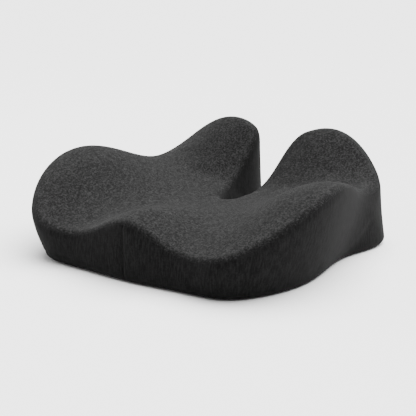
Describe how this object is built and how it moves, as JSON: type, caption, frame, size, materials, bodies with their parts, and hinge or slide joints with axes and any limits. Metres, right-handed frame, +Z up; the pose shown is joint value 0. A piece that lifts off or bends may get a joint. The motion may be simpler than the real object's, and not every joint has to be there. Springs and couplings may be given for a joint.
{
  "type": "seat cushion",
  "caption": "Contoured foam seat cushion with side lobes, raised rear wings, a tail-bone slot, a zipped knit cover and an anti-slip base.",
  "frame": {"origin": "on the floor plane, under the middle of the cushion's box", "axes": "+Z up, out of the seat; -Y the front edge that the thighs pass over; +Y the rear, where the slot opens; +X the cushion's widest way"},
  "size_m": [0.4474, 0.401, 0.15],
  "materials": {
    "foam": "open-cell slow-recovery foam with a moulded skin",
    "liner": "thin stretch jersey",
    "heather_knit": "brushed charcoal heather knit",
    "rib_knit": "charcoal knit with fine upright ribs",
    "base_fabric": "flat black woven base cloth",
    "silicone": "soft matt silicone dots",
    "zip_tape": "tight woven polyester tape",
    "zip_coil": "nylon monofilament",
    "zip_metal": "black enamel, worn at the edges",
    "zip_stop": "moulded nylon",
    "thread": "twisted polyester thread",
    "label": "blank woven satin label"
  },
  "bodies": {
    "cushion": {"foam_core": "foam", "liner_wrap": "liner", "liner_base": "liner", "cover_top_panel": "heather_knit", "cover_side_band_right": "rib_knit", "cover_side_band_left": "rib_knit", "base_front_panel": "base_fabric", "base_rear_panel": "base_fabric", "grip_dots_edge": "silicone", "grip_dots_front": "silicone", "grip_dots_rear": "silicone", "zipper_tape_front": "zip_tape", "zipper_tape_rear": "zip_tape", "zipper_coil_front": "zip_coil", "zipper_coil_rear": "zip_coil", "zipper_top_stop": "zip_stop", "zipper_bottom_stop": "zip_stop", "zip_stitches_front": "thread", "zip_stitches_rear": "thread", "zip_bar_tacks": "thread", "care_label": "label"},
    "slider": {"zipper_slider": "zip_metal"},
    "pull_tab": {"zipper_pull_tab": "zip_metal"}
  },
  "joints": [
    {"name": "slider_travel", "type": "slide", "parent": "cushion", "child": "slider", "axis": [1, 0, 0], "range_m": [0, 0.238]},
    {"name": "pull_tab_hinge", "type": "hinge", "parent": "slider", "child": "pull_tab", "pos_m": [-0.126, -0.05251, 0.0034], "axis": [0, 1, 0], "range_deg": [0, 150]}
  ]
}
